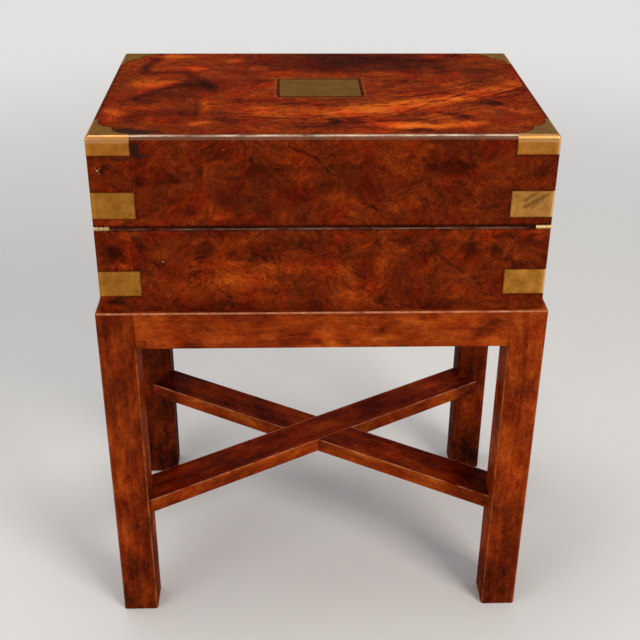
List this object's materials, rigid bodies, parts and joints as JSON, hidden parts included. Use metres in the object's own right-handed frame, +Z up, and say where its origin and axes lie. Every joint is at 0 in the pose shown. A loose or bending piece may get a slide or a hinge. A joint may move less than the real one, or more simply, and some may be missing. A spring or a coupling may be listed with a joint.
{
  "type": "writing slope",
  "caption": "Brass-bound writing box with a sloping seam, hinged lid, leather-lined flaps, pen tray, inkwells and lock, seated on a low square-legged stand with crossed stretchers.",
  "frame": {"origin": "middle of the stand's footprint, on the floor", "axes": "+Z up, -Y is the side with the lid's hinges, +Y the side with the lock, +X to the right seen from the hinge side"},
  "size_m": [0.462, 0.312, 0.581],
  "materials": {
    "stand_mahogany": "old French-polished mahogany, straight grain, worn edges",
    "walnut_sides": "dark figured walnut veneer, French polished",
    "walnut_top": "burr walnut veneer, swirling orange and brown figure, French polished",
    "inner_mahogany": "plain waxed mahogany",
    "tray_mahogany": "waxed mahogany with a hollowed scoop",
    "flap_mahogany": "polished mahogany border",
    "flap_leather": "dark green skiver with a gilt tooled border",
    "bracket_brass": "aged satin brass, tarnish in the corners",
    "strap_brass": "aged satin brass",
    "plate_brass": "dulled brass",
    "string_brass": "thin inlaid line",
    "hinge_brass": "rubbed brass",
    "screw_brass": "brass screws and pins",
    "lock_brass": "brass lock case and plates",
    "bolt_steel": "filed steel",
    "inkwell_glass": "clear pressed glass",
    "cap_brass": "turned brass"
  },
  "bodies": {
    "stand": {"stand_leg_front_left": "stand_mahogany", "stand_leg_front_right": "stand_mahogany", "stand_leg_back_left": "stand_mahogany", "stand_leg_back_right": "stand_mahogany", "stand_rail_front": "stand_mahogany", "stand_rail_back": "stand_mahogany", "stand_rail_left": "stand_mahogany", "stand_rail_right": "stand_mahogany", "stand_stretcher_upper": "stand_mahogany", "stand_stretcher_lower": "stand_mahogany"},
    "box_base": {"base_front_board": "walnut_sides", "base_back_board": "walnut_sides", "base_left_board": "walnut_sides", "base_right_board": "walnut_sides", "base_bottom_board": "inner_mahogany", "ink_divider": "inner_mahogany", "ink_partitions": "inner_mahogany", "tray_bearers": "inner_mahogany", "ink_floor": "inner_mahogany", "base_flap_ledges": "inner_mahogany", "hinge_base_leaves": "hinge_brass", "hinge_base_screws": "screw_brass", "hinge_pins": "hinge_brass", "base_strap_front_left": "strap_brass", "base_strap_front_right": "strap_brass", "base_straps_back_left": "strap_brass", "base_straps_back_right": "strap_brass", "lock_case": "lock_brass", "lock_screws": "screw_brass", "lock_escutcheon": "lock_brass"},
    "lock_bolt": {"lock_bolt": "bolt_steel"},
    "lid": {"lid_front_board": "walnut_sides", "lid_back_board": "walnut_sides", "lid_left_board": "walnut_sides", "lid_right_board": "walnut_sides", "lid_top_board": "walnut_top", "lid_flap_ledges": "inner_mahogany", "lid_bracket_front_left": "bracket_brass", "lid_bracket_front_right": "bracket_brass", "lid_bracket_back_left": "bracket_brass", "lid_bracket_back_right": "bracket_brass", "lid_strap_front_left": "strap_brass", "lid_strap_front_right": "strap_brass", "name_plate": "plate_brass", "plate_stringing": "string_brass", "hinge_lid_leaves": "hinge_brass", "hinge_lid_screws": "screw_brass", "link_plate": "lock_brass", "link_plate_screws": "screw_brass"},
    "upper_flap": {"upper_flap_board": "flap_mahogany", "upper_flap_leather": "flap_leather", "upper_flap_pins": "screw_brass"},
    "lower_flap": {"lower_flap_board": "flap_mahogany", "lower_flap_leather": "flap_leather", "lower_flap_pins": "screw_brass"},
    "pen_tray": {"pen_tray": "tray_mahogany"},
    "inkwell_left": {"inkwell_left": "inkwell_glass"},
    "inkwell_right": {"inkwell_right": "inkwell_glass"},
    "inkwell_cap_left": {"inkwell_cap_left": "cap_brass"},
    "inkwell_cap_right": {"inkwell_cap_right": "cap_brass"}
  },
  "joints": [
    {"name": "box_lift", "type": "slide", "parent": "stand", "child": "box_base", "axis": [0, 0, 1], "range_m": [0, 0.1]},
    {"name": "lid_hinge", "type": "hinge", "parent": "box_base", "child": "lid", "pos_m": [0, -0.1503, 0.487], "axis": [1, 0, 0], "range_deg": [0, 176.5]},
    {"name": "upper_flap_hinge", "type": "hinge", "parent": "box_base", "child": "upper_flap", "pos_m": [0, -0.1345, 0.48452], "axis": [1, 0, 0], "range_deg": [0, 60]},
    {"name": "lower_flap_hinge", "type": "hinge", "parent": "lid", "child": "lower_flap", "pos_m": [0, -0.1345, 0.49465], "axis": [-1, 0, 0], "range_deg": [0, 60]},
    {"name": "lock_bolt_slide", "type": "slide", "parent": "box_base", "child": "lock_bolt", "axis": [1, 0, 0], "range_m": [0, 0.005]},
    {"name": "pen_tray_lift", "type": "slide", "parent": "box_base", "child": "pen_tray", "axis": [0, 0, 1], "range_m": [0, 0.06]},
    {"name": "inkwell_left_lift", "type": "slide", "parent": "box_base", "child": "inkwell_left", "axis": [0, 0, 1], "range_m": [0, 0.066]},
    {"name": "inkwell_cap_left_lift", "type": "slide", "parent": "inkwell_left", "child": "inkwell_cap_left", "axis": [0, 0, 1], "range_m": [0, 0.02]},
    {"name": "inkwell_right_lift", "type": "slide", "parent": "box_base", "child": "inkwell_right", "axis": [0, 0, 1], "range_m": [0, 0.066]},
    {"name": "inkwell_cap_right_lift", "type": "slide", "parent": "inkwell_right", "child": "inkwell_cap_right", "axis": [0, 0, 1], "range_m": [0, 0.02]}
  ],
  "couplings": [
    {"joint": "upper_flap_hinge", "follows": "lid_hinge", "ratio": 0.3},
    {"joint": "lower_flap_hinge", "follows": "lid_hinge", "ratio": 0.3},
    {"joint": "pen_tray_lift", "follows": "lid_hinge", "m_per_rad": 0.019},
    {"joint": "inkwell_left_lift", "follows": "lid_hinge", "m_per_rad": 0.021},
    {"joint": "inkwell_right_lift", "follows": "lid_hinge", "m_per_rad": 0.021},
    {"joint": "inkwell_cap_left_lift", "follows": "lid_hinge", "m_per_rad": 0.006},
    {"joint": "inkwell_cap_right_lift", "follows": "lid_hinge", "m_per_rad": 0.006}
  ]
}
